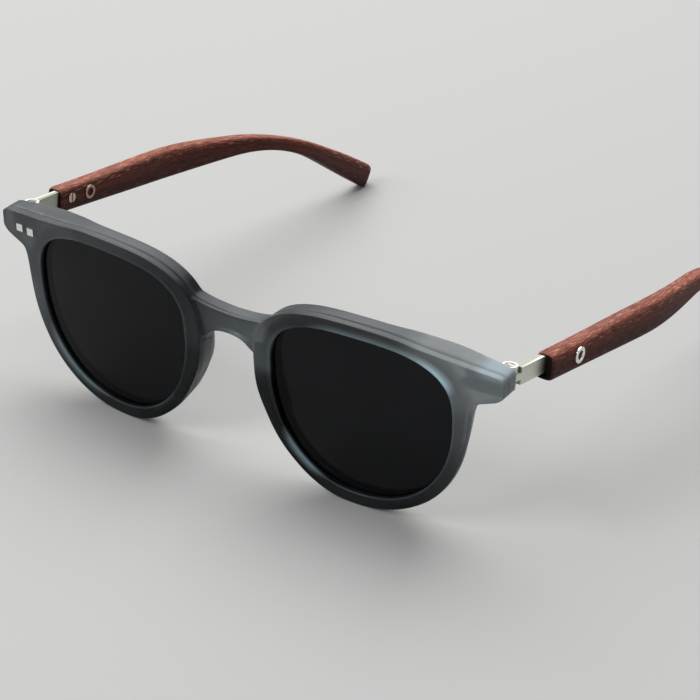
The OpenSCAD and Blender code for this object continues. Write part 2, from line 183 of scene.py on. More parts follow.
def newMaterial(name):
    material = bpy.data.materials.new(name)
    material.use_nodes = True
    return material, material.node_tree.nodes["Principled BSDF"]


def addNode(material, kind, values=None, **settings):
    node = material.node_tree.nodes.new(kind)
    for key, value in settings.items():
        setattr(node, key, value)
    for key, value in (values or {}).items():
        node.inputs[key].default_value = value
    return node


def link(material, source, target):
    material.node_tree.links.new(source, target)


def noise(material, place, scale, detail=3, stretch=(1, 1, 1), roughness=0.5):
    mapping = addNode(material, "ShaderNodeMapping", {"Scale": stretch})
    link(material, place, mapping.inputs["Vector"])
    node = addNode(
        material, "ShaderNodeTexNoise", {"Scale": scale, "Detail": detail, "Roughness": roughness}
    )
    link(material, mapping.outputs["Vector"], node.inputs["Vector"])
    return node.outputs["Fac"]


def ramp(material, source, stops):
    node = addNode(material, "ShaderNodeValToRGB")
    band = node.color_ramp
    while len(band.elements) < len(stops):
        band.elements.new(0.5)
    for element, (at, color) in zip(band.elements, stops):
        element.position = at
        element.color = (*color, 1)
    link(material, source, node.inputs["Fac"])
    return node.outputs["Color"]


def twoTone(material, source, dark, light):
    return ramp(material, source, list(zip(noiseRange, (dark, light))))


def spread(material, source, low, high, fromLow=noiseRange[0], fromHigh=noiseRange[1]):
    node = addNode(
        material, "ShaderNodeMapRange",
        {"From Min": fromLow, "From Max": fromHigh, "To Min": low, "To Max": high},
    )
    link(material, source, node.inputs["Value"])
    return node.outputs["Result"]


def mixColors(material, factor, first, second):
    # second is a plain colour that covers the first where the factor is 1
    node = addNode(material, "ShaderNodeMix", data_type="RGBA")
    node.inputs[mixSockets["second"]].default_value = (*second, 1)
    link(material, factor, node.inputs["Factor"])
    link(material, first, node.inputs[mixSockets["first"]])
    return node.outputs[mixSockets["result"]]


def combine(material, operation, first, second):
    node = addNode(material, "ShaderNodeMath", operation=operation)
    link(material, first, node.inputs[0])
    link(material, second, node.inputs[1])
    return node.outputs[0]


def attribute(material, name, output="Fac"):
    return addNode(material, "ShaderNodeAttribute", attribute_name=name).outputs[output]


def objectPlace(material):
    return addNode(material, "ShaderNodeTexCoord").outputs["Object"]


def splitPlace(material, place):
    node = addNode(material, "ShaderNodeSeparateXYZ")
    link(material, place, node.inputs["Vector"])
    return node.outputs


def addBump(material, shader, source, strength, distance):
    bump = addNode(material, "ShaderNodeBump", {"Strength": strength, "Distance": distance})
    link(material, source, bump.inputs["Height"])
    link(material, bump.outputs["Normal"], shader.inputs["Normal"])


# Translucent grey plastic
plastic = {
    "backed": (0.010, 0.012, 0.013),    # painted shade: the darkest tone, where the pads are glued behind it
    # painted light: the palest tone, where light passes through the thin plastic
    "open": (0.45, 0.495, 0.51),
    "cloud": 0.05,
    "cloudScale": 120,
    "glow": (0.60, 0.88, 1.0),      # painted glow: paler where light would gather in some corners of the lens openings
    "lip": (0.42, 0.54, 0.60),      # painted highlight: paler along the edge of the lens opening
    "well": (0.016, 0.018, 0.020),  # painted shade: dark like the lens on the wall round the opening
    # where each of these three starts and is full, on its attribute
    "masks": {"glow": (0.15, 1), "lip": (0.86, 1), "well": (0.1, 0.4)},
    "roughness": (0.29, 0.37),
    "clear": (0.97, 0.64),          # from the backed part to the open part
    "glowClear": 0.22,
    "sheen": (0.23, 0.25, 0.28, 1),
    "ior": 1.45,
    "bumpScale": 9000,
    "bump": (0.03, 0.01 * mm),      # strength and depth
}
padGrey = {
    "dark": (0.104, 0.113, 0.118),
    "light": (0.127, 0.138, 0.143),
    "cloudScale": 160,
    "roughness": (0.32, 0.40),
    "clear": 0.2,
}


def finishPlastic(material, shader, place, cloud, roughness):
    link(material, spread(material, cloud, *roughness), shader.inputs["Roughness"])
    grit = noise(material, place, plastic["bumpScale"], detail=1)
    addBump(material, shader, grit, *plastic["bump"])
    shader.inputs["IOR"].default_value = plastic["ior"]
    shader.inputs["Specular Tint"].default_value = plastic["sheen"]


def frontMaterial():
    material, shader = newMaterial("frontPlastic")
    place = objectPlace(material)
    cloud = noise(material, place, plastic["cloudScale"], detail=2)
    # painted light and shade: the tone attribute runs from the backed to the open colour
    tone = attribute(material, "tone")
    drift = spread(material, cloud, -plastic["cloud"], plastic["cloud"])
    shade = combine(material, "ADD", tone, drift)
    color = ramp(material, shade, [(0, plastic["backed"]), (1, plastic["open"])])
    share = {}
    # painted glow, painted highlight along the opening's edge and painted shade on its wall
    for part, (low, high) in plastic["masks"].items():
        share[part] = spread(material, attribute(material, part), 0, 1, low, high)
        color = mixColors(material, share[part], color, plastic[part])
    link(material, color, shader.inputs["Base Color"])
    through = spread(material, tone, *plastic["clear"], 0, 1)
    dimmed = spread(material, share["glow"], 1, plastic["glowClear"], 0, 1)
    clear = combine(material, "MULTIPLY", through, dimmed)
    link(material, clear, shader.inputs["Transmission Weight"])
    finishPlastic(material, shader, place, cloud, plastic["roughness"])
    return material


def padMaterial():
    material, shader = newMaterial("padPlastic")
    place = objectPlace(material)
    cloud = noise(material, place, padGrey["cloudScale"], detail=2)
    color = twoTone(material, cloud, padGrey["dark"], padGrey["light"])
    link(material, color, shader.inputs["Base Color"])
    shader.inputs["Transmission Weight"].default_value = padGrey["clear"]
    finishPlastic(material, shader, place, cloud, padGrey["roughness"])
    return material


frontPlastic = frontMaterial()
padPlastic = padMaterial()

# Near-black tinted lens
tint = {
    "deep": (0.0085, 0.0090, 0.0102),
    "pale": (0.0115, 0.0122, 0.0138),
    "cloudScale": 60,
    "roughness": (0.05, 0.10),
    "clear": 0.97,
    "ior": 1.17,
}


def lensMaterial():
    material, shader = newMaterial("tintedLens")
    cloud = noise(material, objectPlace(material), tint["cloudScale"], detail=2)
    color = twoTone(material, cloud, tint["deep"], tint["pale"])
    link(material, color, shader.inputs["Base Color"])
    link(material, spread(material, cloud, *tint["roughness"]), shader.inputs["Roughness"])
    shader.inputs["IOR"].default_value = tint["ior"]
    shader.inputs["Transmission Weight"].default_value = tint["clear"]
    return material


tintedLens = lensMaterial()

# Oiled dark red-brown wood: the grain attribute holds the straight bar's own place
wood = {
    # darkest grain colour, also painted shade along the bar's bottom
    "shadow": (0.035, 0.010, 0.008),
    "deep": (0.062, 0.013, 0.008),
    "warm": (0.155, 0.035, 0.021),
    "top": (0.42, 0.145, 0.10),     # painted light: paler along the upper edge, where the light falls
    # flecks in the grain, painted brighter towards the top as glints
    "fleck": (0.56, 0.24, 0.165),
    "pore": (0.022, 0.008, 0.006),
    "end": (0.004, 0.003, 0.002),   # painted shade on the front end, which is also end grain that drinks the oil
    "roughness": (0.42, 0.62),
    "gloss": 0.1,
    "bump": (0.4, 0.12 * mm),
    # scale, detail, stretch along the grain and roughness of each noise
    "noises": {
        "bands": (330, 3, 0.04, 0.5),
        "fibres": (2600, 5, 0.03, 0.6),
        "pores": (6200, 3, 0.06, 0.5),
    },
    "stops": (0.1, 0.45, 0.85),     # of darkest grain, deep and warm along the figure
    "figure": (0.7, 1.3),           # range of bands and fibres added together
    # how much of each colour shows: from one share to another over a range of height or noise
    # painted light: paler towards the top of the bar
    "topShare": (0, 0.4, 0.6, 0.95),
    # painted shade: darker towards the bottom of the bar
    "shadowShare": (0.75, 0, -0.95, -0.25),
    "fleckShare": (0, 0.95, 0.56, 0.64),
    # painted glints: the flecks show mostly towards the top
    "fleckHeight": (0.14, 1, 0.5, 0.9),
    "poreShare": (0.9, 0, 0.35, 0.42),
    # painted shade on the front end face
    "endShare": (1, 0, 0.03 * mm, 0.2 * mm),
}


def woodMaterial():
    material, shader = newMaterial("oiledWood")
    place = attribute(material, "grain", "Vector")
    bands, fibres, pores = [
        noise(material, place, scale, detail, (1, stretch, 1), roughness)
        for scale, detail, stretch, roughness in wood["noises"].values()
    ]
    figure = combine(material, "ADD", bands, fibres)
    stops = zip(wood["stops"], (wood["shadow"], wood["deep"], wood["warm"]))
    color = ramp(material, spread(material, figure, 0, 1, *wood["figure"]), list(stops))
    height = attribute(material, "height")
    # flecks of the grain, kept to the upper part as painted glints
    flecksAndGlints = combine(
        material, "MULTIPLY",
        spread(material, pores, *wood["fleckShare"]),
        spread(material, height, *wood["fleckHeight"]),
    )
    # painted light on the top, painted shade at the bottom and on the front end, painted glints in
    # the flecks, and dark pores
    for share, part in (
        (spread(material, height, *wood["topShare"]), "top"),
        (spread(material, height, *wood["shadowShare"]), "shadow"),
        (flecksAndGlints, "fleck"),
        (spread(material, pores, *wood["poreShare"]), "pore"),
        (spread(material, splitPlace(material, place)["Y"], *wood["endShare"]), "end"),
    ):
        color = mixColors(material, share, color, wood[part])
    link(material, color, shader.inputs["Base Color"])
    link(material, spread(material, fibres, *wood["roughness"]), shader.inputs["Roughness"])
    shader.inputs["Specular IOR Level"].default_value = wood["gloss"]
    addBump(material, shader, pores, *wood["bump"])
    return material


oiledWood = woodMaterial()

# Bright metal
metal = {
    "steel": (0.67, 0.68, 0.61),
    "bright": (0.82, 0.82, 0.80),
    # painted reflection of the wood, on the temple screws
    "bronze": (0.45, 0.34, 0.29),
    # painted reflection at the inner end of the temple's tube rivet
    "brown": (0.30, 0.20, 0.16),
    # painted reflection on the inner side of the hinge leaf
    "olive": (0.33, 0.34, 0.28),
    # painted reflection: dark on the left front rivets, towards their front
    "dull": (0.14, 0.15, 0.15),
}
brushed = {
    "scale": 1200,
    "dark": 0.93,
    "bump": (0.02, 0.02 * mm),
    "along": (1, 0.08, 1),
    "even": (1, 1, 1),
}


def metalMaterial(name, color, roughness, stretch="even", paintedReflection=None):
    material, shader = newMaterial(name)
    place = objectPlace(material)
    brush = noise(material, place, brushed["scale"], detail=2, stretch=brushed[stretch])
    darker = tuple(brushed["dark"] * c for c in color)
    shade = twoTone(material, brush, darker, color)
    if paintedReflection:
        # painted reflection: another colour at one end, which fades along the axis
        axis, start, end, other = paintedReflection
        out = addNode(material, "ShaderNodeMath", operation="ABSOLUTE")
        link(material, splitPlace(material, place)[axis], out.inputs[0])
        share = spread(material, out.outputs[0], 1, 0, start, end)
        shade = mixColors(material, share, shade, other)
    link(material, shade, shader.inputs["Base Color"])
    link(material, spread(material, brush, *roughness), shader.inputs["Roughness"])
    addBump(material, shader, brush, *brushed["bump"])
    shader.inputs["Metallic"].default_value = 1
    return material


leafSides = (1.5 * mm, 1.75 * mm)   # painted reflection from the pin out: olive inside, steel outside
leafEnds = ("X", pinX + leafSides[0], pinX + leafSides[1], metal["olive"])
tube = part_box("left_temple_rivet")
# painted reflection: brown at the tube rivet's inner end
tubeEnds = ("X", tube[0].x, tube[1].x, metal["brown"])
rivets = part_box("left_front_rivets")
# painted reflection: the left front rivets are dark towards their front
rivetReflectionEnds = ("Y", abs(rivets[0].y), abs(rivets[1].y), metal["dull"])
matt, polished = (0.40, 0.48), (0.10, 0.20)     # ranges of roughness
hingeSteel = metalMaterial("hingeSteel", metal["steel"], matt, "along")
leafSteel = metalMaterial("leafSteel", metal["steel"], matt, "along", leafEnds)
brightSteel = metalMaterial("brightSteel", metal["bright"], polished)
tubeSteel = metalMaterial("tubeSteel", metal["bright"], polished, paintedReflection=tubeEnds)
washerSteel = metalMaterial("washerSteel", metal["steel"], roughness=(0.25, 0.4))
blindSteel = metalMaterial("blindSteel", metal["steel"], roughness=(0.35, 0.5), paintedReflection=rivetReflectionEnds)
# painted reflection: the temple screws take the wood's colour
bronzedSteel = metalMaterial("bronzedSteel", metal["bronze"], roughness=(0.16, 0.28))
print("materials made")

# The moulded front: rims, bridge and end pieces in one piece
front = {
    "depth": 5 * mm,
    "tipX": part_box("front_frame")[1].x,
    "tipTop": 14.2 * mm,
    "tipBottom": 8.2 * mm,
    "tipRound": 1.5 * mm,
    "topSlope": 2.3 / 21.7,         # fall of the top edge towards the tip
    "endTurns": (15, 65),           # part of the rim that the end piece grows from, in degrees
    "endRows": (0.3, 0.55, 0.8, 0.93, 1),
    # fillet under the end piece: mm out and mm up at each turn
    "gusset": {0: (0.2, 0), 5: (0.5, 0), 10: (1.15, -0.1), 15: (2.0, -0.5)},
    "seat": pinPlace.y - 2 * mm,    # flat seat of the hinge plate, along the temples
    "seatFrom": pinPlace.x - 8.6 * mm,
    "seatRamp": 18 * mm,
    "seatHeights": (2 * mm, 8 * mm),
    "bridgeTop": 10 * mm,
    "bridgeDip": 0.6 * mm,
    "bridgeSlope": 1.1 * mm,        # fall of the bridge's top towards its front edge
    "wallSlope": 0.55,              # share of that fall on the wall behind the edge
    "bridgeBottom": 4.6 * mm,
    "archRadius": 13 * mm,
    "bridgeTurns": (150, 180),
    "bridgeRows": (0.1, 0.4, 0.7, 1),
    "firstRow": 0.5,                # how far the first row follows the bridge's own height
    "bridgeBack": 1.0 * mm,
    # painted light and shade: how pale the plastic is painted round the rim, for how much light it
    # lets through, in degrees from the temple
    "tones": (
        (0, 0.62), (15, 0.86), (60, 0.86), (80, 0.4), (110, 0.25), (145, 0.25), (160, 0.37),
        (180, 0.38), (187, 0.05), (228, 0.02), (250, 0.06), (290, 0.08), (330, 0.3), (360, 0.62),
    ),
    # part of the rim, in degrees, where it is slimmer than the lens's own loop, and by how much
    "slim": ((186, 208, 228, 262, 0.9 * mm), (268, 308, 330, 364, 0.5 * mm)),
    "wallDepth": (1.8 * mm, 1.1 * mm),  # behind this the outer wall is drawn in towards the back
    "draftTurns": (196, 240, 362, 374),
    "draft": 0.9 * mm,
    "moreDraft": (268, 308, 330, 364, 1.0 * mm),
    "backEase": 0.8 * mm,
    # where the painted glow lies round each lens opening, in degrees, and how much
    "glowTurns": {
        "left": ((12, 34, 48, 66, 1.0), (48, 66, 90, 130, 0.5), (206, 224, 236, 260, 0.65)),
        "right": ((262, 296, 318, 345, 0.5), (206, 224, 236, 260, 0.25)),
    },
    # the right end piece is darker in the photo, and the left one's top catches the light
    # painted shade: the right end piece is darkened
    "dim": {"share": 0.5, "from": 36 * mm, "over": 16 * mm, "level": 0.5},
    # painted highlight on the left end piece's top
    "shine": {"share": 0.42, "from": (58 * mm, 11.5 * mm), "over": (6 * mm, 3 * mm)},
    # painted light and shade: the bridge darkens to the right
    "shift": {"share": 0.45, "from": 10 * mm, "over": 14 * mm},
    # rounded edges: width and steps
    "edgeOuter": (0.8 * mm, 3),
    "edgeInner": (0.55 * mm, 2),
    "edgeBack": (0.6 * mm, 2),
    "edgeInnerBack": (0.35 * mm, 2),
}


def turnOf(v, reach):
    # the angle that loopPoint was given for this vertex
    angles = range(0, 360, rimStep)
    return min(angles, key=lambda a: (loopPoint(radians(a), reach) - v.co).length)


def tipPoint(share):
    # the rounded outer end of an end piece, from its lower to its upper corner
    z = front["tipBottom"] + share * (front["tipTop"] - front["tipBottom"])
    r = front["tipRound"]
    past = max(0, front["tipBottom"] + r - z, z - front["tipTop"] + r)
    return Vector((front["tipX"] - r + sqrt(max(0, r * r - past * past)), 0, z))


def archHeight(x):
    r = front["archRadius"]
    return front["bridgeBottom"] - r + sqrt(max(0, r * r - x * x))


def seatDepth(x, z):
    # the back of an end piece: it runs out to the plate's flat seat
    flat = (front["seat"] + z * sin(face["tilt"])) / cos(face["tilt"]) - sag(x)
    low, high = front["seatHeights"]
    out = ease((x - front["seatFrom"] + front["seatRamp"]) / front["seatRamp"])
    up = ease((z - low) / (high - low))
    return front["depth"] + out * up * (flat - front["depth"])


def window(turn, a, b, c, d):
    # rises from a to b and falls from c to d, in degrees round the rim
    turn = turn + 360 if turn < a - 180 else turn
    return ease((turn - a) / (b - a)) * (1 - ease((turn - c) / (d - c)))


def toneAt(turn):
    for (a, low), (b, high) in zip(front["tones"], front["tones"][1:]):
        if a <= turn <= b:
            return low + (high - low) * ease((turn - a) / (b - a))


def rimPoint(turn):
    p = loopPoint(radians(turn), rimReach)
    inwards = Vector((lensMiddle - p.x, 0, -p.z)).normalized()
    return p + inwards * sum(amount * window(turn, *span) for *span, amount in front["slim"])


def growRows(bm, edges, rows, target):
    # rows of faces from the rim's edge; each vertex keeps its share along the edge
    share = bm.verts.layers.float["share"]
    done = 0
    for row in rows:
        verts, edges = pullEdges(bm, edges)
        step = (row - done) / (1 - done)
        for v in verts:
            v.co = target(v, v[share], row, step)
        done = row


def toTip(v, share, row, step):
    return v.co.lerp(tipPoint(share), step)


def toMiddle(v, share, row, step):
    x = v.co.x * (1 - step)
    top = front["bridgeTop"] - front["bridgeDip"] * row
    z = archHeight(x) * (1 - share) + top * share
    follow = front["firstRow"] if row == front["bridgeRows"][0] else 1
    return Vector((x, front["bridgeBack"], v.co.z + (z - v.co.z) * follow))


def makeFront():
    bm = bmesh.new()
    share = bm.verts.layers.float.new("share")
    zone = bm.verts.layers.int.new("zone")      # 1 lens opening, 2 outline
    depth = bm.verts.layers.int.new("depth")    # 0 front, 1 wall, 2 back
    drawn = bm.verts.layers.float.new("drawn")
    lip = bm.verts.layers.float.new("lip")
    draft = bm.verts.layers.float.new("draft")
    well = bm.verts.layers.float.new("well")
    tone = bm.verts.layers.float.new("tone")
    glow = bm.verts.layers.float.new("glow")
    rightGlow = bm.verts.layers.float.new("rightGlow")
    hole = lensRing(bm, lensReach(-face["groove"]))
    rim = lensRing(bm, rimReach)
    bmesh.ops.bridge_loops(bm, edges=loopEdges(hole) + loopEdges(rim))
    turns = {v: turnOf(v, rimReach) for v in rim}
    # painted tone and painted glow round the lens opening
    for v in hole:
        turn = turnOf(v, lensReach(-face["groove"]))
        v[zone] = 1
        v[tone] = toneAt(turn)
        for layer, name in ((glow, "left"), (rightGlow, "right")):
            spans = front["glowTurns"][name]
            v[layer] = sum(most * window(turn, *span) for *span, most in spans)
    # painted light and shade round the rim's outline
    for v in rim:
        v[zone] = 2
        v[tone] = toneAt(turns[v])
        v[drawn] = window(turns[v], *front["draftTurns"])
        *span, more = front["moreDraft"]
        v[draft] = front["draft"] * v[drawn] + more * window(turns[v], *span)
        out, up = front["gusset"].get(turns[v], (0, 0))
        v.co = rimPoint(turns[v]) + Vector((out, 0, up)) * mm
    for (start, end), rows, target in (
        (front["endTurns"], front["endRows"], toTip),
        (front["bridgeTurns"], front["bridgeRows"], toMiddle),
    ):
        picked = [v for v in rim if start <= turns[v] <= end]
        heights = [v.co.z for v in picked]
        for v in picked:
            v[share] = (v.co.z - min(heights)) / (max(heights) - min(heights))
        growRows(bm, loopEdges(picked), rows, target)
    # the rim's top runs straight into the end piece
    for v in rim:
        if front["endTurns"][1] <= turns[v] < 90:
            inside = front["tipX"] - front["tipRound"] - v.co.x
            v.co.z = max(v.co.z, front["tipTop"] + inside * front["topSlope"])
    straight, short = front["wallDepth"]
    for layer in (1, 2):
        cap = [f for f in bm.faces if all(v[depth] == layer - 1 for v in f.verts)]
        for v in pushFaces(bm, cap):
            v[depth] = layer
            if layer == 1:
                v.co.y = straight + (short - straight) * v[drawn]
                # painted shade on the wall round the lens opening
                v[well] = v[zone] == 1
            else:
                inwards = Vector((lensMiddle - v.co.x, 0, -v.co.z)).normalized()
                v.co.y = seatDepth(v.co.x, v.co.z) - front["backEase"] * v[drawn]
                v.co += inwards * v[draft]
    # painted highlight along the lens opening's edge
    for v in hole:
        v[lip] = 1
    # the bridge's top slopes to its front edge
    for v in bm.verts:
        if v[depth] < 2 and v.co.x < front["archRadius"] and v[share] > 0 and v[zone] == 0:
            fall = front["bridgeSlope"] * v[share] ** 2
            v.co.z -= fall * (1 if v[depth] == 0 else front["wallSlope"])
    middle = [f for f in bm.faces if all(abs(v.co.x) < tiny for v in f.verts)]
    bmesh.ops.delete(bm, geom=middle, context="FACES_ONLY")
    half = bm.verts[:] + bm.edges[:] + bm.faces[:]
    bmesh.ops.mirror(bm, geom=half, axis="X", merge_dist=weldGap)
    # painted light and shade: the bridge darkens to the right, the right end piece is darkened and
    # the left one's top gets a painted highlight
    dim, shift, shine = front["dim"], front["shift"], front["shine"]
    for v in bm.verts:
        across = max(-1, min(1, v.co.x / shift["from"]))
        fade = 1 - ease((abs(v.co.x) - shift["from"]) / shift["over"])
        v[tone] *= 1 + shift["share"] * across * fade
        if v.co.x < 0:
            out = ease((-v.co.x - dim["from"]) / dim["over"])
            up = ease(v.co.z / dim["over"] + dim["level"])
            v[tone] *= 1 - dim["share"] * out * up
            v[glow] = v[rightGlow]
        else:
            out, up = [
                ease((c - a) / b) for c, a, b in zip(v.co.xz, shine["from"], shine["over"])
            ]
            v[glow] += shine["share"] * out * up
    bmesh.ops.recalc_face_normals(bm, faces=bm.faces)
    for layer, isHole, edge in (
        (0, False, "edgeOuter"),
        (0, True, "edgeInner"),
        (2, False, "edgeBack"),
        (2, True, "edgeInnerBack"),
    ):
        sharp = [
            e for e in bm.edges
            if all(v[depth] == layer and (v[zone] == 1) == isHole for v in e.verts)
            and e.is_manifold and e.calc_face_angle() > sharpAngle
        ]
        roundEdges(bm, sharp, *front[edge])
    layOnFront(bm)
    addPiece(bm, "mouldedFront", "front", "front_frame", frontPlastic, levels=2)


makeFront()
print("front made")

# Tinted lenses
lens = {
    "thickness": 2 * mm,
    "setback": 1.2 * mm,
    "crown": 0.5 * mm,
    "rows": 9,
    "edge": 0.3 * mm,
    "edgeSteps": 2,
    "seat": 0.03 * mm,
}


def makeLens(name, side):
    bm = bmesh.new()
    inward = bm.verts.layers.float.new("inward")
    middle = Vector((lensMiddle, 0, 0))
    edges = loopEdges(lensRing(bm, lensReach(-lens["seat"])))
    for row in range(1, lens["rows"] + 1):
        verts, edges = pullEdges(bm, edges)
        for v in verts:
            v.co = v.co.lerp(middle, 1 / (lens["rows"] - row + 1))
            v[inward] = row / lens["rows"]
    bmesh.ops.pointmerge(bm, verts=verts, merge_co=middle)
    rear = set(pushFaces(bm, bm.faces[:]))
    for v in bm.verts:
        crown = lens["crown"] * (1 - (1 - v[inward]) ** 2)
        v.co.y = lens["setback"] - crown + (lens["thickness"] if v in rear else 0)
    bmesh.ops.recalc_face_normals(bm, faces=bm.faces)
    rims = [e for e in bm.edges if e.calc_face_angle() > sharpAngle]
    roundEdges(bm, rims, lens["edge"], lens["edgeSteps"])
    layOnFront(bm, side)
    addPiece(bm, name + "TintedLens", "front", name + "_lens", tintedLens, levels=1)


for name, side in sides.items():
    makeLens(name, side)
print("lenses made")

# Nose pads: slim crescents that swell behind the nose side of the rims
pad = {
    "level": -5.5 * mm,
    "half": 10.5 * mm,
    "width": 2.7 * mm,
    "base": 0.9 * mm,               # depth where the pad's skin starts on the rim's flank
    "reach": 7.2 * mm,
    "proud": 0.12 * mm,
    "flare": 0.9 * mm,
    "taper": 0.9 * mm,              # the lower end turns away from the nose
    "skin": 0.02 * mm,              # least width, at the two ends
    "ends": {"upper": 5, "lower": 2},   # 2 is round, more is blunter
    "endDepth": 0.35,               # share of the depth that the two ends keep
    "endProud": 0.4,                # and of how far they stand proud
    "cuts": 18,
    "deepCuts": 4,
    "line": (140, 0.1, 1100),       # first turn, step and points of the rim's nose side
}
lineStart, lineStep, linePoints = pad["line"]
noseLine = [rimPoint(lineStart + lineStep * i) for i in range(linePoints)]


def noseEdge(z):
    # the rim's outline towards the nose at this height
    return min(noseLine, key=lambda p: abs(p.z - z)).x


def makePad(name, side):
    bm = bmesh.new()
    bmesh.ops.create_cube(bm, size=2)
    tall = [e for e in bm.edges if abs(e.verts[0].co.z - e.verts[1].co.z) > 1]
    bmesh.ops.subdivide_edges(bm, edges=tall, cuts=pad["cuts"], use_grid_fill=True)
    deep = [e for e in bm.edges if abs(e.verts[0].co.y - e.verts[1].co.y) > 1]
    bmesh.ops.subdivide_edges(bm, edges=deep, cuts=pad["deepCuts"], use_grid_fill=True)
    for v in bm.verts:
        along, outer, t = v.co.z, v.co.x > 0, (v.co.y + 1) / 2
        end = pad["ends"]["upper" if along > 0 else "lower"]
        swell = sqrt(max(0, 1 - abs(along) ** end))
        z = pad["level"] + pad["half"] * along
        deepShare = pad["endDepth"] + (1 - pad["endDepth"]) * swell
        depth = pad["base"] + (pad["reach"] - pad["base"]) * t * deepShare
        x = noseEdge(z) - pad["proud"] * (pad["endProud"] + (1 - pad["endProud"]) * swell)
        x += pad["flare"] * swell * ease(2 * t - 1)
        x += pad["taper"] * ease(-along) * t
        v.co = (x + (pad["width"] * swell if outer else pad["skin"]), depth, z)
    bmesh.ops.recalc_face_normals(bm, faces=bm.faces)
    layOnFront(bm, side)
    addPiece(bm, name + "RestPad", "front", name + "_nose_pad", padPlastic, levels=2)


for name, side in sides.items():
    makePad(name, side)
print("nose pads made")

# Wooden temples: a straight bar with rounded edges, bent along its path
temple = {
    "start": 10.5 * mm,             # from the pin to the wood
    "offset": 2.34 * mm,            # from the pin out to the middle of the wood
    "thickFront": 4.3 * mm,
    "thickTip": 3.7 * mm,
    "frontHeight": 6.4 * mm,
    "middleHeight": 7.6 * mm,
    "middleAt": 43 * mm,
    "bendHeight": 3.7 * mm,
    "bendAt": 87 * mm,
    "tipHeight": 5.6 * mm,
    "tipSwell": 0.34,               # the tip's upper half is fuller
    "swellRate": 1.4,               # how soon that fullness is reached behind the bend
    "straight": 68.5 * mm,
    "fall": radians(2),
    "bendRadius": 80 * mm,
    "bendTurn": radians(25),
    "tip": 32.6 * mm,
    "splay": radians(1.7),
    "tuck": 7.6 * mm,
    "tuckFrom": 40 * mm,
    "tuckOver": 66 * mm,
    "edge": 1.3 * mm,
    "edgeSteps": 3,
    "tipRound": 2.6 * mm,
    "tipLeast": 0.3,                # share of the section that is left at the tip
    "tipRings": (0, 0.4, 0.7, 0.9),
    "ringGap": 3 * mm,
    "frontEdge": 0.7 * mm,
    "frontDraw": 0.14,              # share by which the front end is drawn in
    "frontRings": (0.35, 1, 1.8),
    "slot": (2.2 * mm, 6.3 * mm, 3 * mm),
    "slotPlace": (-0.8 * mm, 0.5 * mm),
    "slotInset": 0.3 * mm,
    "grainShift": 0.05,             # keeps the two temples' grain apart
    "sink": 0.35 * mm,              # the front end lies a little below the hinge
    "sinkOver": 45 * mm,
    "topCut": 0.4 * mm,             # draws that end's upper half down, by its height
}
bendLength = temple["bendRadius"] * temple["bendTurn"]
woodLength = temple["straight"] + bendLength + temple["tip"]


def woodHeight(s):
    stops = (
        (0, temple["frontHeight"]), (temple["middleAt"], temple["middleHeight"]),
        (temple["bendAt"], temple["bendHeight"]), (woodLength, temple["tipHeight"]),
    )
    for (a, first), (b, second) in zip(stops, stops[1:]):
        if s < b:
            return first + (second - first) * ease((s - a) / (b - a))
    return temple["tipHeight"]


def woodShrink(s):
    # both ends are drawn in
    tip = max(0, s - woodLength + temple["tipRound"]) / temple["tipRound"]
    start = max(0, temple["frontEdge"] - s) / temple["frontEdge"]
    section = sqrt(max(0, 1 - tip * tip))
    return max(temple["tipLeast"], section) * (1 - temple["frontDraw"] * start)


def bendWood(a, s, h):
    # from the straight bar's place to the bent temple's, in the temples' own frame
    turned = temple["bendTurn"] * min(1, max(0, (s - temple["straight"]) / bendLength))
    fall = temple["fall"] + turned
    flat = min(s, temple["straight"])
    rest = max(0, s - temple["straight"] - bendLength)
    r = temple["bendRadius"]
    first = temple["fall"]
    y = flat * cos(first) + r * (sin(fall) - sin(first)) + rest * cos(fall)
    z = -flat * sin(first) - r * (cos(first) - cos(fall)) - rest * sin(fall)
    x = s * sin(temple["splay"])
    x -= temple["tuck"] * ease((s - temple["tuckFrom"]) / temple["tuckOver"])
    shrink = woodShrink(s)
    a *= shrink * (1 + (temple["thickTip"] / temple["thickFront"] - 1) * s / woodLength)
    h *= shrink * woodHeight(s) / temple["middleHeight"]
    if h > 0:
        behind = (s - temple["bendAt"]) / (woodLength - temple["bendAt"])
        h *= 1 + temple["tipSwell"] * ease(behind * temple["swellRate"])
    fade = 1 - ease(s / temple["sinkOver"])
    h -= fade * (temple["sink"] + temple["topCut"] * max(0, h) / temple["middleHeight"])
    return Vector((
        pinPlace.x + temple["offset"] + x + a,
        pinPlace.y + temple["start"] + y + h * sin(fall),
        pinPlace.z + z + h * cos(fall),
    ))


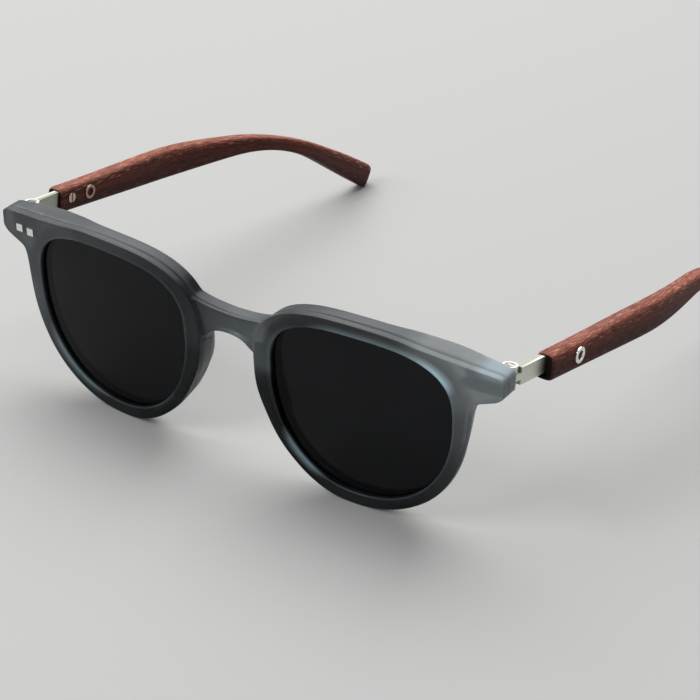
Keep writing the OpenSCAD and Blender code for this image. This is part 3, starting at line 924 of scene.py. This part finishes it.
def makeTemple(name, side):
    bm = bmesh.new()
    grain = bm.verts.layers.float_vector.new("grain")
    height = bm.verts.layers.float.new("height")
    bmesh.ops.create_cube(bm, size=1)
    size = Vector((temple["thickFront"], woodLength, temple["middleHeight"]))
    bmesh.ops.scale(bm, vec=size, verts=bm.verts)
    bmesh.ops.translate(bm, vec=(0, woodLength / 2, 0), verts=bm.verts)
    lengthwise = [e for e in bm.edges if e.calc_length() > woodLength / 2]
    roundEdges(bm, lengthwise, temple["edge"], temple["edgeSteps"])
    # rings along the bar, closer together at its two ends
    count = round(woodLength / temple["ringGap"])
    rings = [temple["frontEdge"] * k for k in temple["frontRings"]]
    rings += [woodLength * i / count for i in range(1, count)]
    rings += [woodLength - temple["tipRound"] * (1 - k) for k in temple["tipRings"]]
    for s in rings:
        bmesh.ops.bisect_plane(
            bm, geom=bm.verts[:] + bm.edges[:] + bm.faces[:], dist=tiny,
            plane_co=(0, s, 0), plane_no=(0, 1, 0),
        )
    # the slot that the hinge's tang goes into
    end = [f for f in bm.faces if all(v.co.y < tiny for v in f.verts)]
    bmesh.ops.inset_region(bm, faces=end, thickness=temple["slotInset"])
    slotT, slotH, slotDeep = temple["slot"]
    for v in end[0].verts:
        v.co.x = v.co.x * slotT / temple["thickFront"] + temple["slotPlace"][0]
        v.co.z = v.co.z * slotH / temple["middleHeight"] + temple["slotPlace"][1]
    inner = pushFaces(bm, end)
    bmesh.ops.delete(bm, geom=[f for f in end if f.is_valid], context="FACES_ONLY")
    for v in inner:
        v.co.y += slotDeep
    for v in bm.verts:
        v[grain] = v.co + Vector((0, 0, temple["grainShift"] * side))
        v[height] = 2 * v.co.z / temple["middleHeight"]
        v.co = bendWood(*v.co)
    bmesh.ops.transform(bm, matrix=templeFrame, verts=bm.verts)
    if side < 0:
        bmesh.ops.transform(bm, matrix=mirrorX, verts=bm.verts)
    addPiece(
        bm, name + "WoodenTemple", name + "_arm", name + "_temple", oiledWood, levels=2
    )


for name, side in sides.items():
    makeTemple(name, side)
print("temples made")

# Hinges and fasteners keep their solids, with eased edges
fittings = {
    "hinge_plate": (hingeSteel, 0.12 * mm),
    "hinge_leaf": (leafSteel, 0.15 * mm),
    "hinge_screw": (brightSteel, 0.06 * mm),
    "hinge_washers": (washerSteel, 0.03 * mm),
    "front_rivets": (brightSteel, 0.4 * mm),
    "temple_screw": (bronzedSteel, 0.1 * mm),
    "temple_rivet": (tubeSteel, 0.12 * mm),
}
eased = {"steps": 2, "angle": radians(40)}
for name in sides:
    for part, (material, edge) in fittings.items():
        node = frame["nodes"][name + "_" + part]
        # painted reflection: the left front rivets are dark towards their front
        darkRivets = name == "left" and part == "front_rivets"
        node.data.materials.clear()
        node.data.materials.append(blindSteel if darkRivets else material)
        weld = node.modifiers.new("weld", "WELD")
        weld.merge_threshold = weldGap
        bevel = node.modifiers.new("ease", "BEVEL")
        bevel.width = edge
        bevel.segments = eased["steps"]
        bevel.limit_method = "ANGLE"
        bevel.angle_limit = eased["angle"]
print("fittings finished")

# Floor, light and camera
stage = {
    "floor": (0.43, 0.43, 0.426),
    "floorRoughness": 0.9,
    "floorGloss": 0.1,
    "size": 2.6,
    "sky": (1, 1, 1),
    "skyLight": 0.15,
    "backdrop": 0.5,
}
lights = {
    "overhead": {"place": (-0.35, 0.40, 1.05), "size": 1.5, "power": 25.0},
    "window": {"place": (-0.35, -0.9, 0.8), "size": 0.6, "power": 7.0},
}
camera = {
    "azimuth": radians(33.812),
    "elevation": radians(27.692),
    "roll": radians(2.117),
    "distance": 511.63 * mm,
    "aim": Vector((22.51, -59.28, 29.77)) * mm,
    "lens": 120.25,
    "sensor": 36,
    "nearest": 10 * mm,
}


def makeFloor():
    bm = bmesh.new()
    bmesh.ops.create_grid(bm, x_segments=1, y_segments=1, size=stage["size"] / 2)
    mesh = bpy.data.meshes.new("floor")
    bm.to_mesh(mesh)
    bm.free()
    floor = bpy.data.objects.new("floor", mesh)
    bpy.context.scene.collection.objects.link(floor)
    material, shader = newMaterial("paleFloor")
    shader.inputs["Base Color"].default_value = (*stage["floor"], 1)
    shader.inputs["Roughness"].default_value = stage["floorRoughness"]
    shader.inputs["Specular IOR Level"].default_value = stage["floorGloss"]
    mesh.materials.append(material)


def makeLights():
    world = bpy.data.worlds.new("studio")
    bpy.context.scene.world = world
    world.use_nodes = True
    sky = world.node_tree.nodes["Background"]
    sky.inputs["Color"].default_value = (*stage["sky"], 1)
    # paler behind the floor's edge, for the camera, metal and glass
    path = addNode(world, "ShaderNodeLightPath").outputs
    seen = combine(world, "MAXIMUM", path["Is Camera Ray"], path["Is Glossy Ray"])
    seen = combine(world, "MAXIMUM", seen, path["Is Transmission Ray"])
    strength = spread(world, seen, stage["skyLight"], stage["backdrop"], 0, 1)
    link(world, strength, sky.inputs["Strength"])
    for name, spec in lights.items():
        lamp = bpy.data.lights.new(name, "AREA")
        lamp.size = spec["size"]
        lamp.energy = spec["power"]
        holder = bpy.data.objects.new(name, lamp)
        holder.location = spec["place"]
        holder.rotation_euler = Vector(spec["place"]).to_track_quat("Z", "Y").to_euler()
        bpy.context.scene.collection.objects.link(holder)


def makeCamera():
    az, el, roll = camera["azimuth"], camera["elevation"], camera["roll"]
    behind = Vector((sin(az) * cos(el), -cos(az) * cos(el), sin(el)))
    level = Vector((cos(az), sin(az), 0))
    upright = behind.cross(level)
    right = level * cos(roll) + upright * sin(roll)
    up = upright * cos(roll) - level * sin(roll)
    data = bpy.data.cameras.new("camera")
    data.lens = camera["lens"]
    data.sensor_width = camera["sensor"]
    data.clip_start = camera["nearest"]
    holder = bpy.data.objects.new("camera", data)
    turn = Matrix((right, up, behind)).transposed().to_4x4()
    place = Matrix.Translation(camera["aim"] + behind * camera["distance"])
    holder.matrix_world = place @ turn
    bpy.context.scene.collection.objects.link(holder)
    bpy.context.scene.camera = holder


makeFloor()
makeLights()
makeCamera()
bpy.context.scene.view_settings.view_transform = "Standard"
print("stage made")
